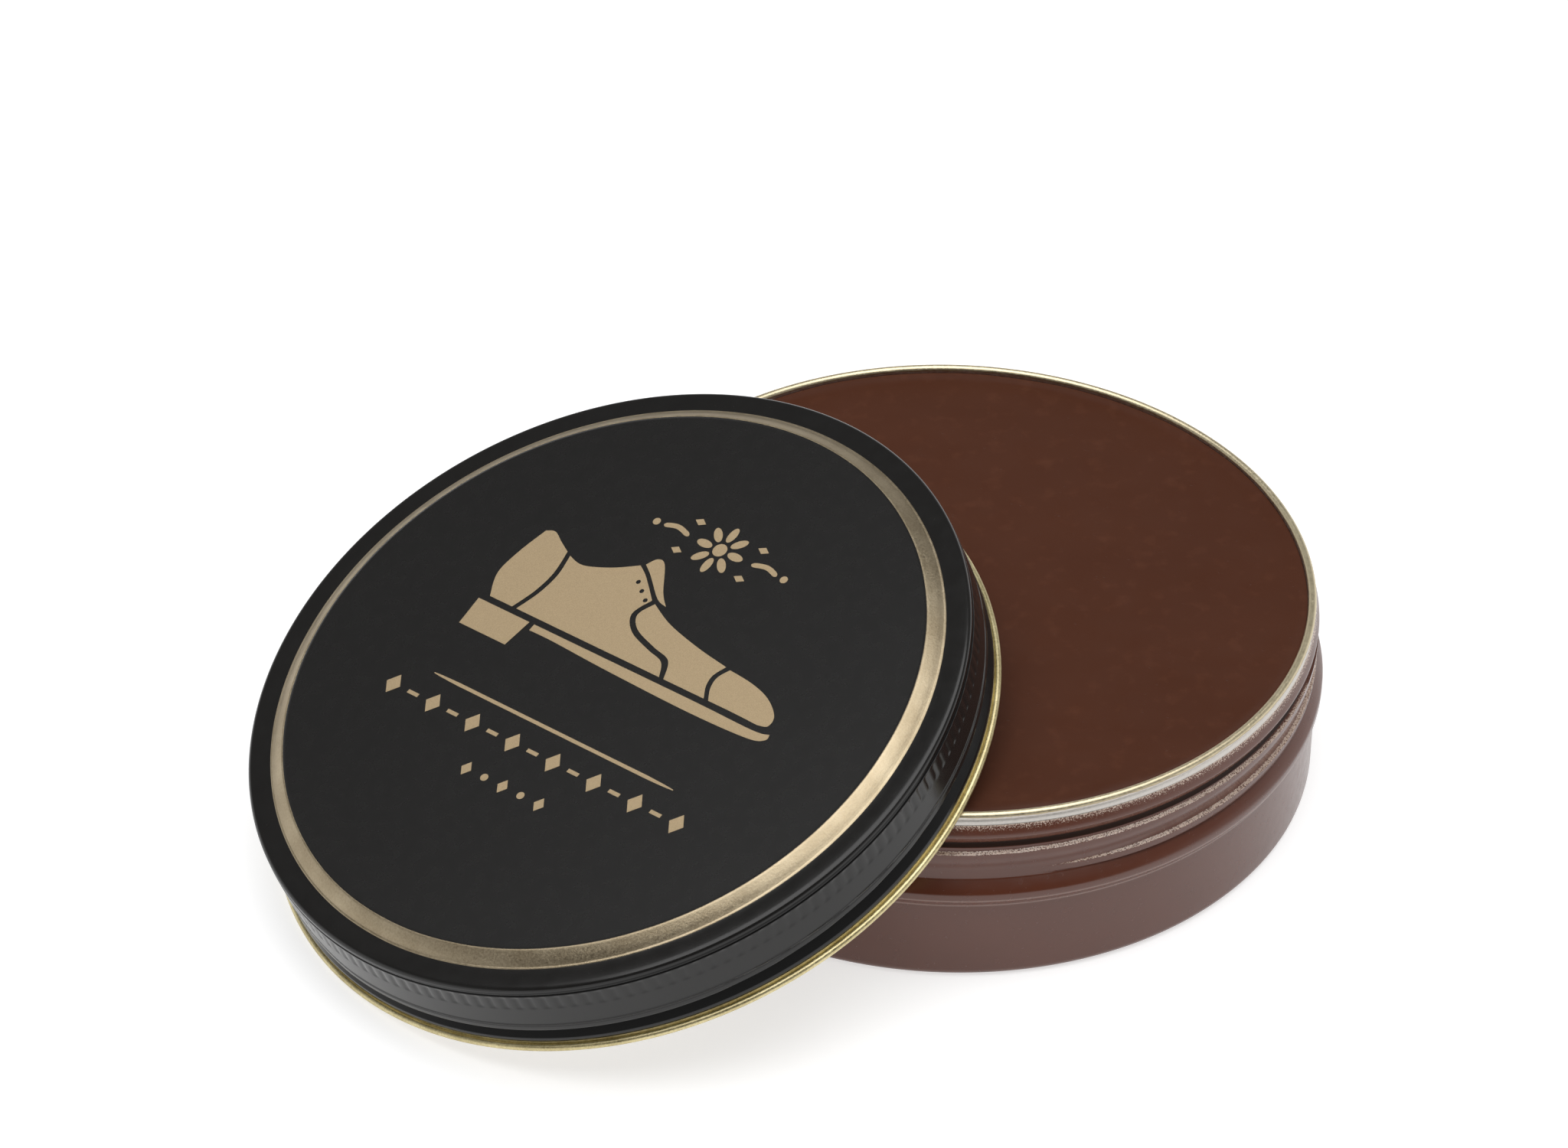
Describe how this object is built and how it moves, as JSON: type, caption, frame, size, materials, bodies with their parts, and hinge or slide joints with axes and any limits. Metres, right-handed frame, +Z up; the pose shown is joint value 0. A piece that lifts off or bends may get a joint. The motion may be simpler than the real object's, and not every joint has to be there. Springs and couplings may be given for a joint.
{
  "type": "shoe polish tin",
  "caption": "Round screw-top tinplate tin of brown shoe polish, open, its black enamelled lid leaning on the rolled rim.",
  "frame": {"origin": "centre of the base can's flat underside, on the can's axis, at table level", "axes": "+Z is up, along the can's axis out of its mouth; -Y is the front, the side nearest the viewer; the lid leans out on the left and a little to the front, 150.5 degrees clockwise from +X seen from above"},
  "size_m": [0.1187, 0.1037, 0.0389],
  "materials": {
    "base_lacquer": "satin lacquer over tinplate",
    "polish_wax": "smooth soft wax",
    "liner_board": "faced pulpboard",
    "lid_enamel": "satin black enamel outside, gold lacquer inside"
  },
  "bodies": {
    "base": {"base_can": "base_lacquer", "polish": "polish_wax"},
    "liner": {"lid_liner": "liner_board"},
    "lid": {"lid_shell": "lid_enamel"}
  },
  "joints": [
    {"name": "lid_swing", "type": "hinge", "parent": "base", "child": "liner", "pos_m": [0, 0, -0.09067], "axis": [-0.4924, 0.8704, 0], "range_deg": [0, 20.75]},
    {"name": "lid_turn", "type": "hinge", "parent": "liner", "child": "lid", "pos_m": [-0.03835, -0.0217, 0.02564], "axis": [-0.3084, -0.1745, 0.9351], "continuous": true}
  ]
}
